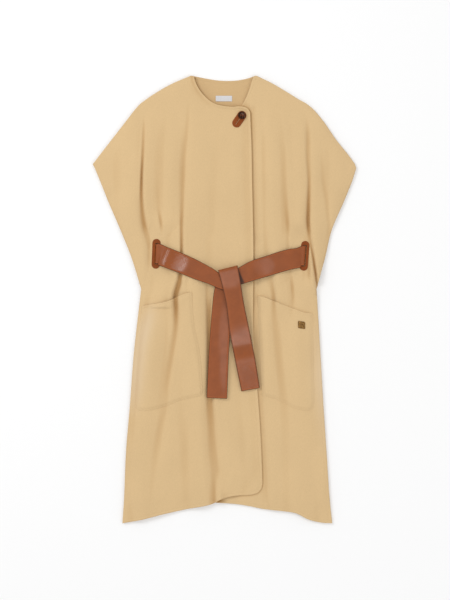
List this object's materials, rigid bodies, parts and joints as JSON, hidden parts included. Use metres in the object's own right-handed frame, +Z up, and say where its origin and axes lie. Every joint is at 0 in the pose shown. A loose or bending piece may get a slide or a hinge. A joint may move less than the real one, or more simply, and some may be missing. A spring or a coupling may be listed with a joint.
{
  "type": "wrap coat",
  "caption": "Long camel wrap coat laid flat, with wide cape sleeves, patch pockets, a horn button at the neck and a leather belt tied through slits.",
  "frame": {"origin": "middle of the coat's length and width, on the surface that it lies on", "axes": "+X to the wearer's left, the viewer's right; +Y from the hem to the neck; +Z up from the surface, out of the fronts"},
  "size_m": [0.658, 1.118, 0.0234],
  "materials": {
    "cashmere": "camel double-faced cashmere with a short soft nap",
    "belt_leather": "smooth tan leather, half matt, edge stitched",
    "patch_leather": "smooth tan leather, edge stitched",
    "horn": "polished dark horn",
    "tape": "plain white woven tape",
    "brass": "aged, brushed"
  },
  "bodies": {
    "root": {"back": "cashmere", "front_right": "cashmere", "front_left": "cashmere", "pocket_right": "cashmere", "pocket_left": "cashmere", "slit_patch_right": "patch_leather", "slit_patch_left": "patch_leather", "buttonhole_patch": "patch_leather", "button": "horn", "belt_inner": "belt_leather", "belt_strap_right": "belt_leather", "belt_strap_left": "belt_leather", "belt_end_front": "belt_leather", "belt_end_back": "belt_leather", "neck_label": "tape", "pocket_plate": "brass"}
  },
  "joints": []
}
